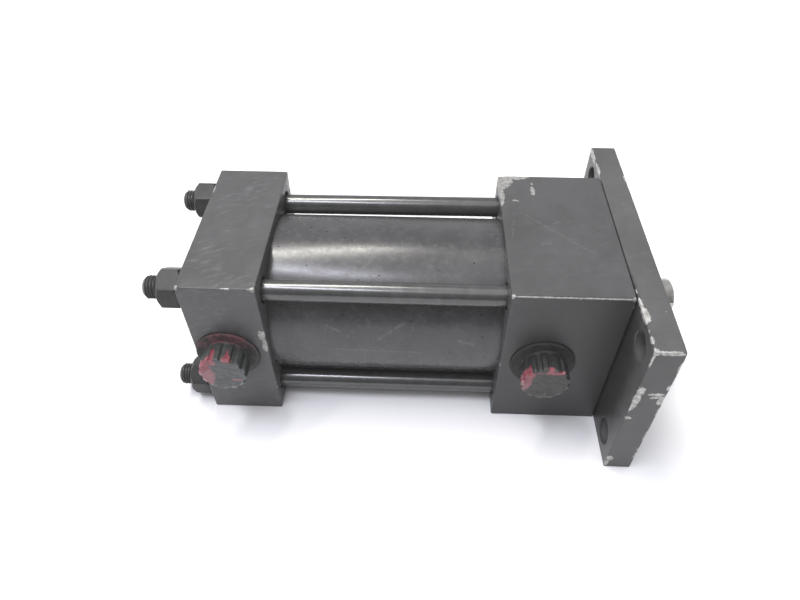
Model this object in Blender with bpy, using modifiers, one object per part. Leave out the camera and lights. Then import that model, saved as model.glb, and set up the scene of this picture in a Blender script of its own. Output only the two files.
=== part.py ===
"""Tie-rod air cylinder with a rectangular flange at the rod end.

Frame: metres, +X toward the rod end, ports on the -Y side, +Z up.  The origin is
under the middle of the overall length, on the plane the end blocks stand on.
"Station" means the distance along the cylinder from the cap's outer face.
"""
from math import cos, pi, radians, sin

import bmesh
import bpy
from mathutils import Matrix, Vector

INCH = 0.0254
GAP = 0.0003                         # clearance between pieces that touch

# Driving dimensions: the common inch tie-rod series, two-inch bore
BORE = 2.0 * INCH
STROKE = 2.0 * INCH
BLOCK_SIDE = 2.5 * INCH              # square end blocks, and the flange's height
CAP_LENGTH = 1.0 * INCH
HEAD_LENGTH = 1.5 * INCH
TUBE_SPAN = 1.125 * INCH + STROKE    # tube showing between the blocks
TUBE_WALL = 0.125 * INCH
FLANGE_THICKNESS = 0.375 * INCH
FLANGE_WIDTH = 4.125 * INCH
FLANGE_HOLE_RADIUS = 0.1875 * INCH
FLANGE_HOLE_SPREAD = 3.375 * INCH    # hole spacing across the flange
TIE_SPREAD = 1.84 * INCH             # tie-rod spacing, both ways
ROD_RADIUS = 0.3125 * INCH
ROD_EXTENSION = 0.0165               # rod end beyond the flange when retracted
PILOT_RADIUS = 0.5625 * INCH
PILOT_PROUD = 0.25 * INCH            # gland nose beyond the flange
PORT_INSET = 0.5625 * INCH           # port centre from the block's inner face
STUD_PROUD = 0.013625                # longest tie-rod end beyond the cap's outer face
EDGE_CHAMFER = 0.0006
PAST = 0.002                         # how far a cutter runs past the face it cuts

# Stations and levels that follow from them
CAP_INNER = CAP_LENGTH
HEAD_INNER = CAP_INNER + TUBE_SPAN
HEAD_FRONT = HEAD_INNER + HEAD_LENGTH
FLANGE_FRONT = HEAD_FRONT + FLANGE_THICKNESS
NOSE_FRONT = FLANGE_FRONT + PILOT_PROUD
ROD_END = FLANGE_FRONT + ROD_EXTENSION
AXIS_HEIGHT = BLOCK_SIDE / 2
CAP_FACE_X = -(ROD_END - STUD_PROUD) / 2
BORE_RADIUS = BORE / 2
TUBE_RADIUS = BORE_RADIUS + TUBE_WALL

# Tube seats: grooves in both blocks that hold the tube's ends and their seals
SEAT_DEPTH = 0.0048
SEAT_SEAL_THICKNESS = 0.0016
TUBE_SETBACK = SEAT_SEAL_THICKNESS + 2 * GAP

# Tie rods and nuts, 5/16 inch thread
TIE_THREAD_RADIUS = 0.15625 * INCH
TIE_SHANK_RADIUS = 0.1427 * INCH     # pitch diameter of the rolled thread
TIE_HOLE_RADIUS = 0.171875 * INCH
TIE_THREAD_LENGTH = 0.75 * INCH
TIE_END_SETBACK = 0.0016             # most that an end lies below the flange's front face
TIE_CHAMFER = 0.0008
NUT_FLATS = 0.5 * INCH
NUT_HEIGHT = 0.3125 * INCH
NUT_FACE_RADIUS = 0.0060
NUT_CHAMFER = 0.0014                 # height of a nut's chamfer at its corners

# Air passages; the spot face is shallower than the blocks' edge chamfer, because on the
# cap it runs out into that chamfer
PORT_SPOT_RADIUS = 0.0114
PORT_SPOT_DEPTH = 0.00035
PORT_MOUTH_RADIUS = 0.0082
PORT_THREAD_RADIUS = 0.0078
PORT_END_RADIUS = 0.0073
PORT_DEPTH = 0.0150
PASSAGE_RADIUS = 0.0040
CAP_POCKET_RADIUS = 0.0095
CAP_POCKET_DEPTH = 0.0190
HEAD_POCKET_RADIUS = 0.0110

# Gland, held in the head by the flange
GLAND_RADIUS = 0.0175
GLAND_LENGTH = 0.0150                # length of its body inside the head
GLAND_CHAMFER = 0.0006
GLAND_BORE = ROD_RADIUS + GAP
GLAND_GROOVE_FLOOR = 0.0150
GLAND_GROOVE_WIDTH = 0.0032
GLAND_GROOVE_SETBACK = 0.0058        # O-ring groove from the gland's back
ROD_SEAL_SETBACK = 0.0030            # rod seal's groove from the gland's back
ROD_SEAL_RADIUS = 0.0122
ROD_SEAL_WIDTH = 0.0052
WIPER_RADIUS = 0.0116
WIPER_WIDTH = 0.0042
WIPER_LIP = 0.0010

# Piston and what it carries
PISTON_RADIUS = BORE_RADIUS - 0.0005
PISTON_REAR = CAP_INNER + GAP
PISTON_FRONT = HEAD_INNER - STROKE - GAP
SEAL_GROOVE_FLOOR = 0.0208
SEAL_GROOVE_WIDTH = 0.0052
SEAL_LAND = 0.0026                   # piston land between a seal and the face
BAND_GROOVE_FLOOR = 0.0229
BAND_WIDTH = 0.0064
BAND_SPLIT = 0.0010
LIP_DEPTH = 0.6                      # depth of a lip seal's groove, as a share of its width
SPINDLE_RADIUS = 0.25 * INCH         # rod's reduced end, through the piston
PISTON_NUT_FLATS = 0.75 * INCH
PISTON_NUT_HEIGHT = 0.0075
PISTON_NUT_CHAMFER = 0.0010
PISTON_SINK_RADIUS = 0.0127
PISTON_SINK_DEPTH = 0.0095
SPINDLE_GROOVE_RADIUS = 0.0088
SPINDLE_GROOVE_WIDTH = 0.0030
SPINDLE_GROOVE_SETBACK = 0.0070      # from the piston's front
ROD_TAIL_SETBACK = 0.0005            # rod's tail inside the piston's rear face

# Rod end: two wrench flats and a tapped hole
FLAT_LENGTH = 0.3125 * INCH
FLAT_HALF = 0.25 * INCH
ROD_CHAMFER = 0.0005
ROD_TAIL_CHAMFER = 0.0006
ROD_TAP_CHAMFER = 0.0004
ROD_TAP_RADIUS = 0.00495
ROD_TAP_DEPTH = 0.0190

# Port plugs
PLUG_COLLAR_RADIUS = 0.0109
PLUG_COLLAR = 0.0010
PLUG_RADIUS = 0.00805
PLUG_RIM = 0.0005
PLUG_PROUD = 0.0092
PLUG_SHANK = 0.0090
PLUG_HOLLOW_RADIUS = 0.0052
PLUG_WALL = 0.0024
PLUG_FLUTES = 12
FLUTE_RADIUS = 0.0015
FLUTE_OUTSET = 0.35                  # how far its centre stands out, as a share of its radius

# Facets around a full turn
FINE = 48
ROUND = 32
SMALL = 16

# Name of each corner, its sides of the axis, its nut's turn in degrees, and how much
# less than the longest its tie-rod end stands out
CORNERS = (
    ("top_near", -1, 1, 53, 0.0000),
    ("top_far", 1, 1, 48, 0.0006),
    ("bottom_near", -1, -1, 8, 0.0004),
    ("bottom_far", 1, -1, 37, 0.0003),
)

AXIS = (Vector((CAP_FACE_X, 0, AXIS_HEIGHT)), (0, pi / 2, 0))   # local Z is +X
MATERIALS = {
    "dark_paint": ((0.115, 0.115, 0.118), 0.45, 0.3),
    "tube_paint": ((0.055, 0.053, 0.056), 0.35, 0.4),
    "black_steel": ((0.050, 0.050, 0.052), 0.35, 0.6),
    "rod_chrome": ((0.550, 0.540, 0.520), 0.20, 1.0),
    "bearing_bronze": ((0.480, 0.300, 0.130), 0.40, 0.9),
    "piston_alloy": ((0.620, 0.630, 0.640), 0.35, 0.9),
    "seal_rubber": ((0.030, 0.030, 0.032), 0.75, 0.0),
    "band_plastic": ((0.330, 0.240, 0.150), 0.60, 0.0),
    "plug_plastic": ((0.420, 0.060, 0.080), 0.50, 0.0),
}


def clear_scene():
    for item in list(bpy.data.objects):
        bpy.data.objects.remove(item, do_unlink=True)


def new_collection(name):
    collection = bpy.data.collections.new(name)
    bpy.context.scene.collection.children.link(collection)
    return collection


def new_materials():
    made = {}
    for name, (colour, roughness, metallic) in MATERIALS.items():
        material = bpy.data.materials.new(name)
        material.use_nodes = True
        shader = material.node_tree.nodes["Principled BSDF"]
        shader.inputs["Base Color"].default_value = (*colour, 1)
        shader.inputs["Roughness"].default_value = roughness
        shader.inputs["Metallic"].default_value = metallic
        made[name] = material
    return made


clear_scene()
PARTS = new_collection("pneumatic_cylinder")
CUTTERS = new_collection("cutters")
FINISH = new_materials()


# ---------------------------------------------------------------- helpers

def place(name, mesh, material=None, pose=AXIS):
    """Link a mesh as a part, or as a hidden cutter when it has no material."""
    item = bpy.data.objects.new(name, mesh)
    item.location, item.rotation_euler = pose
    if material:
        mesh.materials.append(FINISH[material])
        PARTS.objects.link(item)
    else:
        CUTTERS.objects.link(item)
        item.hide_render = True
        item.display_type = "WIRE"
    return item


def outline_area(outline):
    area = 0.0
    for (r0, z0), (r1, z1) in zip(outline, outline[1:] + outline[:1]):
        area += r0 * z1 - r1 * z0
    return area / 2


def turned(name, outline, material=None, segments=ROUND, pose=AXIS):
    """Turn an outline of (radius, station) points about the local Z axis.

    An outline that starts and ends on the axis gives a solid, any other a ring.
    """
    outline = list(outline)
    if outline_area(outline) > 0:
        outline.reverse()
    solid = outline[0][0] == 0 and outline[-1][0] == 0
    mesh = bpy.data.meshes.new(name)
    edges = [(i, i + 1) for i in range(len(outline) - 1)]
    if not solid:
        edges.append((len(outline) - 1, 0))
    mesh.from_pydata([(r, 0, z) for r, z in outline], edges, [])
    item = place(name, mesh, material, pose)
    screw = item.modifiers.new("turn", "SCREW")
    screw.axis = "Z"
    screw.steps = segments
    screw.render_steps = segments
    screw.use_merge_vertices = True
    screw.merge_threshold = 0.00001
    return item


def bar(name, radius, start, end, segments=SMALL):
    """A plain round cutter between two stations."""
    outline = [(0, start), (radius, start), (radius, end), (0, end)]
    return turned(name, outline, segments=segments)


def corner_bars(name, radius, start, end, half_y, half_z):
    """Four parallel bars on a rectangle about the axis, as one cutter."""
    mesh = bpy.data.meshes.new(name)
    shape = bmesh.new()
    for side_y in (-1, 1):
        for side_z in (-1, 1):
            middle = Vector((-side_z * half_z, side_y * half_y, (start + end) / 2))
            bmesh.ops.create_cone(shape, cap_ends=True, segments=SMALL, radius1=radius,
                                  radius2=radius, depth=end - start,
                                  matrix=Matrix.Translation(middle))
    shape.to_mesh(mesh)
    shape.free()
    return place(name, mesh)


def block(name, start, end, width, height, material=None):
    """A rectangular block centred on the axis between two stations."""
    mesh = bpy.data.meshes.new(name)
    shape = bmesh.new()
    size = Matrix.Diagonal((end - start, width, height, 1))
    bmesh.ops.create_cube(shape, size=1, matrix=size)
    shape.to_mesh(mesh)
    shape.free()
    middle = AXIS[0] + Vector(((start + end) / 2, 0, 0))
    item = place(name, mesh, material, (middle, (0, 0, 0)))
    if material:
        bevel = item.modifiers.new("edges", "BEVEL")
        bevel.width = EDGE_CHAMFER
        bevel.segments = 1
    return item


def combine(item, cutter, operation="DIFFERENCE"):
    boolean = item.modifiers.new(operation.lower(), "BOOLEAN")
    boolean.operation = operation
    boolean.solver = "EXACT"
    boolean.object = cutter


def settle(item):
    """Replace an object's mesh by its modified shape, so that it can be copied."""
    graph = bpy.context.evaluated_depsgraph_get()
    mesh = bpy.data.meshes.new_from_object(item.evaluated_get(graph))
    item.modifiers.clear()
    item.data = mesh


def copy_of(item, name, location, rotation=None):
    twin = item.copy()
    twin.name = name
    twin.location = location
    if rotation:
        twin.rotation_euler = rotation
    PARTS.objects.link(twin)
    return twin


def smooth_rounds():
    """Shade round sides smooth and keep true corners crisp."""
    graph = bpy.context.evaluated_depsgraph_get()
    for item in PARTS.objects:
        if item.modifiers:
            item.data = bpy.data.meshes.new_from_object(item.evaluated_get(graph))
            item.modifiers.clear()
        item.data.shade_smooth()
        item.data.set_sharp_from_angle(angle=radians(30))


# ---------------------------------------------------------------- end blocks

def port_cutter(name, station):
    """Tapped port with its spot face on the -Y face, and the narrow passage to the axis."""
    pose = (AXIS[0] + Vector((station, -BLOCK_SIDE / 2, 0)), (pi / 2, 0, 0))
    mouth = PORT_MOUTH_RADIUS - PORT_THREAD_RADIUS
    outline = [
        (0, PAST),
        (PORT_SPOT_RADIUS, PAST),
        (PORT_SPOT_RADIUS, -PORT_SPOT_DEPTH),
        (PORT_MOUTH_RADIUS, -PORT_SPOT_DEPTH),
        (PORT_THREAD_RADIUS, -PORT_SPOT_DEPTH - mouth),
        (PORT_END_RADIUS, -PORT_DEPTH),
        (PASSAGE_RADIUS, -PORT_DEPTH - mouth),
        (PASSAGE_RADIUS, -BLOCK_SIDE / 2 + CAP_POCKET_RADIUS / 2),
        (0, -BLOCK_SIDE / 2 + CAP_POCKET_RADIUS / 2),
    ]
    return turned(name, outline, pose=pose)


def seat_cutter(name, inner, inward):
    """Annular groove for a tube end; inward is +1 or -1 along the axis."""
    low = BORE_RADIUS - GAP
    high = TUBE_RADIUS + GAP
    floor = inner + inward * SEAT_DEPTH
    outside = inner - inward * PAST
    return turned(name, [(low, outside), (high, outside), (high, floor), (low, floor)],
                  segments=FINE)


def make_blocks():
    tie_half = TIE_SPREAD / 2
    cap = block("cap_block", 0, CAP_INNER, BLOCK_SIDE, BLOCK_SIDE, "dark_paint")
    combine(cap, corner_bars("cut_cap_ties", TIE_HOLE_RADIUS, -PAST, CAP_INNER + PAST,
                             tie_half, tie_half))
    combine(cap, seat_cutter("cut_cap_seat", CAP_INNER, -1))
    combine(cap, bar("cut_cap_pocket", CAP_POCKET_RADIUS, CAP_INNER - CAP_POCKET_DEPTH,
                     CAP_INNER + PAST))
    combine(cap, port_cutter("cut_cap_port", CAP_INNER - PORT_INSET))

    head = block("head_block", HEAD_INNER, HEAD_FRONT, BLOCK_SIDE, BLOCK_SIDE, "dark_paint")
    combine(head, corner_bars("cut_head_ties", TIE_HOLE_RADIUS, HEAD_INNER - PAST,
                              HEAD_FRONT + PAST, tie_half, tie_half))
    combine(head, seat_cutter("cut_head_seat", HEAD_INNER, 1))
    gland_floor = HEAD_FRONT - GLAND_LENGTH - GAP
    bores = [
        (0, HEAD_INNER - PAST),
        (HEAD_POCKET_RADIUS, HEAD_INNER - PAST),
        (HEAD_POCKET_RADIUS, gland_floor),
        (GLAND_RADIUS, gland_floor),
        (GLAND_RADIUS, HEAD_FRONT + PAST),
        (0, HEAD_FRONT + PAST),
    ]
    combine(head, turned("cut_head_bores", bores))
    combine(head, port_cutter("cut_head_port", HEAD_INNER + PORT_INSET))


def make_flange():
    start = HEAD_FRONT + GAP
    flange = block("front_flange", start, FLANGE_FRONT, FLANGE_WIDTH, BLOCK_SIDE, "dark_paint")
    low, high = start - PAST, FLANGE_FRONT + PAST
    combine(flange, bar("cut_flange_bore", PILOT_RADIUS + GAP, low, high, segments=ROUND))
    combine(flange, corner_bars("cut_flange_taps", TIE_THREAD_RADIUS + GAP, low, high,
                                TIE_SPREAD / 2, TIE_SPREAD / 2))
    combine(flange, corner_bars("cut_flange_holes", FLANGE_HOLE_RADIUS, low, high,
                                FLANGE_HOLE_SPREAD / 2, TIE_SPREAD / 2))


# ---------------------------------------------------------------- tube

def make_tube():
    chamfer = 0.0004
    start = CAP_INNER - SEAT_DEPTH + TUBE_SETBACK
    end = HEAD_INNER + SEAT_DEPTH - TUBE_SETBACK
    turned("barrel_tube", [
        (BORE_RADIUS, start),
        (TUBE_RADIUS - chamfer, start),
        (TUBE_RADIUS, start + chamfer),
        (TUBE_RADIUS, end - chamfer),
        (TUBE_RADIUS - chamfer, end),
        (BORE_RADIUS, end),
    ], "tube_paint", FINE)
    floors = {
        "tube_seal_cap": CAP_INNER - SEAT_DEPTH + GAP,
        "tube_seal_head": HEAD_INNER + SEAT_DEPTH - GAP - SEAT_SEAL_THICKNESS,
    }
    for name, floor in floors.items():
        inner, outer = BORE_RADIUS, TUBE_RADIUS
        top = floor + SEAT_SEAL_THICKNESS
        turned(name, [(inner, floor), (outer, floor), (outer, top), (inner, top)],
               "seal_rubber")


# ---------------------------------------------------------------- gland

def lip_seal(name, inner, outer, low, high, open_end):
    """A U-section ring whose groove faces open_end (-1 low, +1 high)."""
    third = (outer - inner) / 3
    depth = (high - low) * LIP_DEPTH
    outline = [
        (inner, high),
        (inner, low),
        (inner + third, low),
        ((inner + outer) / 2, low + depth),
        (outer - third, low),
        (outer, low),
        (outer, high),
    ]
    if open_end > 0:
        outline = [(r, low + high - z) for r, z in outline]
    return turned(name, outline, "seal_rubber")


def make_gland():
    back = HEAD_FRONT - GLAND_LENGTH
    body = GLAND_RADIUS - GAP
    chamfer = GLAND_CHAMFER
    ring_low = back + GLAND_GROOVE_SETBACK
    ring_high = ring_low + GLAND_GROOVE_WIDTH
    seal_low = back + ROD_SEAL_SETBACK
    seal_high = seal_low + ROD_SEAL_WIDTH
    wiper_low = NOSE_FRONT - WIPER_WIDTH
    turned("rod_gland", [
        (GLAND_BORE, back),
        (body - chamfer, back),
        (body, back + chamfer),
        (body, ring_low),
        (GLAND_GROOVE_FLOOR, ring_low),
        (GLAND_GROOVE_FLOOR, ring_high),
        (body, ring_high),
        (body, HEAD_FRONT),
        (PILOT_RADIUS, HEAD_FRONT),
        (PILOT_RADIUS, NOSE_FRONT - chamfer),
        (PILOT_RADIUS - chamfer, NOSE_FRONT),
        (WIPER_RADIUS, NOSE_FRONT),
        (WIPER_RADIUS, wiper_low),
        (GLAND_BORE, wiper_low),
        (GLAND_BORE, seal_high),
        (ROD_SEAL_RADIUS, seal_high),
        (ROD_SEAL_RADIUS, seal_low),
        (GLAND_BORE, seal_low),
    ], "bearing_bronze")

    middle = (ring_low + ring_high) / 2
    inner = GLAND_GROOVE_FLOOR + GAP
    outer = GLAND_RADIUS - GAP
    o_ring("gland_o_ring", inner, outer, middle)
    lip_seal("rod_seal", GLAND_BORE, ROD_SEAL_RADIUS - GAP, seal_low + GAP,
             seal_high - GAP, -1)
    edge = WIPER_RADIUS - GAP
    slope = (edge - GLAND_BORE) / 3
    turned("rod_wiper", [
        (GLAND_BORE + slope, wiper_low + GAP),
        (edge, wiper_low + GAP),
        (edge, NOSE_FRONT - GAP),
        (GLAND_BORE + slope, NOSE_FRONT - GAP),
        (GLAND_BORE, NOSE_FRONT + WIPER_LIP),
        (GLAND_BORE, NOSE_FRONT - WIPER_WIDTH / 2),
    ], "seal_rubber")


def o_ring(name, inner, outer, station, sides=6):
    """A ring of round section between two radii."""
    radius = (outer - inner) / 2
    centre = (outer + inner) / 2
    turns = [2 * pi * i / sides for i in range(sides)]
    return turned(name, [(centre + radius * cos(t), station + radius * sin(t)) for t in turns],
                  "seal_rubber")


# ---------------------------------------------------------------- piston and rod

def make_piston():
    front_seal = PISTON_FRONT - SEAL_LAND - SEAL_GROOVE_WIDTH
    rear_seal = PISTON_REAR + SEAL_LAND
    band = (PISTON_FRONT + PISTON_REAR - BAND_WIDTH) / 2
    o_ring_low = PISTON_FRONT - SPINDLE_GROOVE_SETBACK
    sink = PISTON_REAR + PISTON_SINK_DEPTH
    spindle_bore = SPINDLE_RADIUS + GAP
    outline = [(PISTON_SINK_RADIUS, PISTON_REAR), (PISTON_RADIUS, PISTON_REAR)]
    for low, width, floor in (
        (rear_seal, SEAL_GROOVE_WIDTH, SEAL_GROOVE_FLOOR),
        (band, BAND_WIDTH, BAND_GROOVE_FLOOR),
        (front_seal, SEAL_GROOVE_WIDTH, SEAL_GROOVE_FLOOR),
    ):
        outline += [(PISTON_RADIUS, low), (floor, low)]
        outline += [(floor, low + width), (PISTON_RADIUS, low + width)]
    outline += [
        (PISTON_RADIUS, PISTON_FRONT),
        (spindle_bore, PISTON_FRONT),
        (spindle_bore, o_ring_low + SPINDLE_GROOVE_WIDTH),
        (SPINDLE_GROOVE_RADIUS, o_ring_low + SPINDLE_GROOVE_WIDTH),
        (SPINDLE_GROOVE_RADIUS, o_ring_low),
        (spindle_bore, o_ring_low),
        (spindle_bore, sink),
        (PISTON_SINK_RADIUS, sink),
    ]
    turned("piston", outline, "piston_alloy")

    reach = BORE_RADIUS - GAP
    floor = SEAL_GROOVE_FLOOR + GAP
    for name, low, open_end in (("piston_seal_rear", rear_seal, -1),
                                ("piston_seal_front", front_seal, 1)):
        lip_seal(name, floor, reach, low + GAP, low + SEAL_GROOVE_WIDTH - GAP, open_end)

    low, high = band + GAP, band + BAND_WIDTH - GAP
    floor = BAND_GROOVE_FLOOR + GAP
    wear_band = turned("piston_wear_band",
                       [(floor, low), (reach, low), (reach, high), (floor, high)],
                       "band_plastic")
    split = block("cut_band_split", low - GAP, high + GAP, BAND_SPLIT, BORE_RADIUS)
    split.location.z += BORE_RADIUS
    combine(wear_band, split)

    o_ring("piston_o_ring", SPINDLE_RADIUS + GAP, SPINDLE_GROOVE_RADIUS - GAP,
           o_ring_low + SPINDLE_GROOVE_WIDTH / 2)
    hex_nut("piston_nut", PISTON_NUT_FLATS, PISTON_NUT_HEIGHT, spindle_bore,
            PISTON_NUT_FLATS / 2 - GAP, PISTON_NUT_CHAMFER, sink - GAP)


def make_rod():
    tail = PISTON_REAR + ROD_TAIL_SETBACK
    shoulder = PISTON_FRONT + GAP
    floor = ROD_END - ROD_TAP_DEPTH
    rod = turned("piston_rod", [
        (0, tail),
        (SPINDLE_RADIUS - ROD_TAIL_CHAMFER, tail),
        (SPINDLE_RADIUS, tail + ROD_TAIL_CHAMFER),
        (SPINDLE_RADIUS, shoulder),
        (ROD_RADIUS - ROD_TAIL_CHAMFER, shoulder),
        (ROD_RADIUS, shoulder + ROD_TAIL_CHAMFER),
        (ROD_RADIUS, ROD_END - ROD_CHAMFER),
        (ROD_RADIUS - ROD_CHAMFER, ROD_END),
        (ROD_TAP_RADIUS + ROD_TAP_CHAMFER, ROD_END),
        (ROD_TAP_RADIUS, ROD_END - ROD_TAP_CHAMFER),
        (ROD_TAP_RADIUS, floor),
        (0, floor - ROD_TAP_RADIUS / 2),
    ], "rod_chrome")
    depth = ROD_RADIUS - FLAT_HALF + PAST
    for side in (-1, 1):
        flat = block(f"cut_rod_flat_{side + 1}", ROD_END - FLAT_LENGTH, ROD_END + PAST,
                     depth, 2 * ROD_RADIUS + PAST)
        flat.location.y = side * (FLAT_HALF + depth / 2)
        combine(rod, flat)


# ---------------------------------------------------------------- tie rods and nuts

def hex_nut(name, flats, height, bore, face_radius, chamfer, seat):
    """A hexagon nut, chamfered on both faces, that reaches back from station seat."""
    corner = flats / 3 ** 0.5
    top = seat - height
    blank = turned(name, [
        (bore, seat),
        (face_radius, seat),
        (corner + GAP, seat - chamfer),
        (corner + GAP, top + chamfer),
        (face_radius, top),
        (bore, top),
    ], "black_steel", SMALL * 3 // 2)
    mesh = bpy.data.meshes.new("cut_" + name)
    shape = bmesh.new()
    bmesh.ops.create_cone(shape, cap_ends=True, segments=6, radius1=corner, radius2=corner,
                          depth=2 * height, matrix=Matrix.Translation((0, 0, seat - height / 2)))
    shape.to_mesh(mesh)
    shape.free()
    combine(blank, place("cut_" + name, mesh), "INTERSECT")
    return blank


def make_ties():
    """Four tie rods, threaded into the flange and nutted on the cap."""
    start = -STUD_PROUD
    end = FLANGE_FRONT - TIE_END_SETBACK
    chamfer = TIE_CHAMFER
    taper = TIE_THREAD_RADIUS - TIE_SHANK_RADIUS
    tie = turned("tie_rod", [
        (0, start),
        (TIE_THREAD_RADIUS - chamfer, start),
        (TIE_THREAD_RADIUS, start + chamfer),
        (TIE_THREAD_RADIUS, start + TIE_THREAD_LENGTH),
        (TIE_SHANK_RADIUS, start + TIE_THREAD_LENGTH + taper),
        (TIE_SHANK_RADIUS, end - TIE_THREAD_LENGTH - taper),
        (TIE_THREAD_RADIUS, end - TIE_THREAD_LENGTH),
        (TIE_THREAD_RADIUS, end - chamfer),
        (TIE_THREAD_RADIUS - chamfer, end),
        (0, end),
    ], "black_steel", SMALL)
    nut = hex_nut("tie_nut", NUT_FLATS, NUT_HEIGHT, TIE_THREAD_RADIUS + GAP,
                  NUT_FACE_RADIUS, NUT_CHAMFER, -GAP)
    bpy.context.view_layer.update()
    settle(tie)
    settle(nut)
    for corner, side_y, side_z, turn, less in CORNERS:
        spot = AXIS[0] + Vector((0, side_y, side_z)) * (TIE_SPREAD / 2)
        copy_of(tie, "tie_rod_" + corner, spot + Vector((less, 0, 0)))
        quarter = Matrix.Rotation(pi / 2, 3, "Y")
        turned_nut = quarter @ Matrix.Rotation(radians(turn), 3, "Z")
        copy_of(nut, "tie_nut_" + corner, spot, turned_nut.to_euler())
    bpy.data.objects.remove(tie)
    bpy.data.objects.remove(nut)


# ---------------------------------------------------------------- port plugs

def make_plugs():
    """Push-in plastic plugs: fluted head, thin collar, hollow tapered shank."""
    taper = PORT_THREAD_RADIUS - PORT_END_RADIUS
    top = PORT_THREAD_RADIUS - GAP
    seat = GAP - PORT_SPOT_DEPTH
    pose = (AXIS[0] + Vector((CAP_INNER - PORT_INSET, -BLOCK_SIDE / 2, 0)), (pi / 2, 0, 0))
    plug = turned("port_plug_cap", [
        (PLUG_HOLLOW_RADIUS, -PLUG_SHANK),
        (top - taper, -PLUG_SHANK),
        (top, seat),
        (PLUG_COLLAR_RADIUS, seat),
        (PLUG_COLLAR_RADIUS, seat + PLUG_COLLAR),
        (PLUG_RADIUS, seat + PLUG_COLLAR),
        (PLUG_RADIUS, PLUG_PROUD - PLUG_RIM),
        (PLUG_RADIUS - PLUG_RIM, PLUG_PROUD),
        (0, PLUG_PROUD),
        (0, PLUG_PROUD - PLUG_WALL),
        (PLUG_HOLLOW_RADIUS, PLUG_PROUD - PLUG_WALL),
    ], "plug_plastic", ROUND, pose)
    mesh = bpy.data.meshes.new("cut_plug_flutes")
    shape = bmesh.new()
    length = PLUG_PROUD
    for i in range(PLUG_FLUTES):
        angle = 2 * pi * (i + 0.5) / PLUG_FLUTES
        reach = PLUG_RADIUS + FLUTE_RADIUS * FLUTE_OUTSET
        height = seat + PLUG_COLLAR + GAP + length / 2
        middle = Vector((reach * cos(angle), reach * sin(angle), height))
        bmesh.ops.create_cone(shape, cap_ends=True, segments=8, radius1=FLUTE_RADIUS,
                              radius2=FLUTE_RADIUS, depth=length,
                              matrix=Matrix.Translation(middle))
    shape.to_mesh(mesh)
    shape.free()
    combine(plug, place("cut_plug_flutes", mesh, pose=pose))
    bpy.context.view_layer.update()
    settle(plug)
    copy_of(plug, "port_plug_head", pose[0] + Vector((TUBE_SPAN + 2 * PORT_INSET, 0, 0)))


make_blocks()
make_flange()
make_tube()
make_gland()
make_piston()
make_rod()
make_ties()
make_plugs()
bpy.context.view_layer.update()
smooth_rounds()
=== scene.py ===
"""Looks of the tie-rod air cylinder: fine meshes, materials, light and camera."""
from math import cos, pi, radians, sin

import bmesh
import bpy
from mathutils import Matrix, Vector, noise


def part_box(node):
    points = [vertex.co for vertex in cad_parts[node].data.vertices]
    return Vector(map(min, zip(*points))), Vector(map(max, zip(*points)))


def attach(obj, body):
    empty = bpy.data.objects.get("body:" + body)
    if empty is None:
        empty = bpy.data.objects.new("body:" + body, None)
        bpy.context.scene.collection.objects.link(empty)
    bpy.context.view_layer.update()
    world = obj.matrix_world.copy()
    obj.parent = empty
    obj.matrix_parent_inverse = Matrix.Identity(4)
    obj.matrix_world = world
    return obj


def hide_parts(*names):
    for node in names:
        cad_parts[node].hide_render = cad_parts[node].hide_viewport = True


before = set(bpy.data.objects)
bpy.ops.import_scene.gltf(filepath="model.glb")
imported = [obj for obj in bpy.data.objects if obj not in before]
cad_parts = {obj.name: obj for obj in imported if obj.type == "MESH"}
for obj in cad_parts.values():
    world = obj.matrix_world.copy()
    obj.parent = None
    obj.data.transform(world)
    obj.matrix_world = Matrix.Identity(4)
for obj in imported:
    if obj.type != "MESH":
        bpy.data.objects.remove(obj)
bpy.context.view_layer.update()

MM = 0.001

# ---------------------------------------------------------------- sizes read from the frame

CAP_LOW, CAP_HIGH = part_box("cap_block")
HEAD_LOW, HEAD_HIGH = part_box("head_block")
FLANGE_LOW, FLANGE_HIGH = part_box("front_flange")
TUBE_LOW, TUBE_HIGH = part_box("barrel_tube")
GLAND_LOW, GLAND_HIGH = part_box("rod_gland")
ROD_LOW, ROD_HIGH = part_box("piston_rod")
PISTON_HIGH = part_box("piston")[1]
AXIS_Z = (CAP_LOW.z + CAP_HIGH.z) / 2
AXIS = Vector((0, 0, AXIS_Z))
HALF_SIDE = (CAP_HIGH.z - CAP_LOW.z) / 2
TUBE_RADIUS = (TUBE_HIGH.y - TUBE_LOW.y) / 2
ROD_RADIUS = (ROD_HIGH.y - ROD_LOW.y) / 2
SIDES = {"top_near": (-1, 1), "top_far": (1, 1), "bottom_near": (-1, -1), "bottom_far": (1, -1)}
NUT_TURNS = {"top_near": 53, "top_far": 48, "bottom_near": 8, "bottom_far": 37}


def middle(node):
    low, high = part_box(node)
    return (low + high) / 2


TIE_SPOTS = {corner: middle("tie_rod_" + corner) for corner in SIDES}
TIE_HALF = TIE_SPOTS["top_far"].y

# Sizes of features that the boxes don't give
BORE_RADIUS = 25.4 * MM
SEAT_DEPTH = 4.8 * MM
CLEAR = 0.3 * MM
TIE_THREAD_RADIUS = 3.96 * MM
TIE_ROOT_RADIUS = 3.32 * MM
TIE_SHANK_RADIUS = 3.62 * MM
TIE_PITCH = 25.4 / 24 * MM
TIE_STUD = 15 * MM                   # thread made at the cap's end
TIE_TAIL = 4 * MM                    # thread made at the flange's end
TIE_LEAN = 0.6 * MM                  # how far the far top tie rod sits low at the cap
TIE_HOLE_RADIUS = 4.37 * MM
TAP_RADIUS = 4.27 * MM
FLANGE_HOLE_RADIUS = 4.76 * MM
FLANGE_HOLE_HALF = 42.86 * MM
PILOT_RADIUS = 14.29 * MM
PORT_INSET = 14.29 * MM
CAP_PORT = CAP_HIGH.x - PORT_INSET
HEAD_PORT = HEAD_LOW.x + PORT_INSET
SPOT_RADIUS = 11.1 * MM
SPOT_DEPTH = 0.35 * MM
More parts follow.
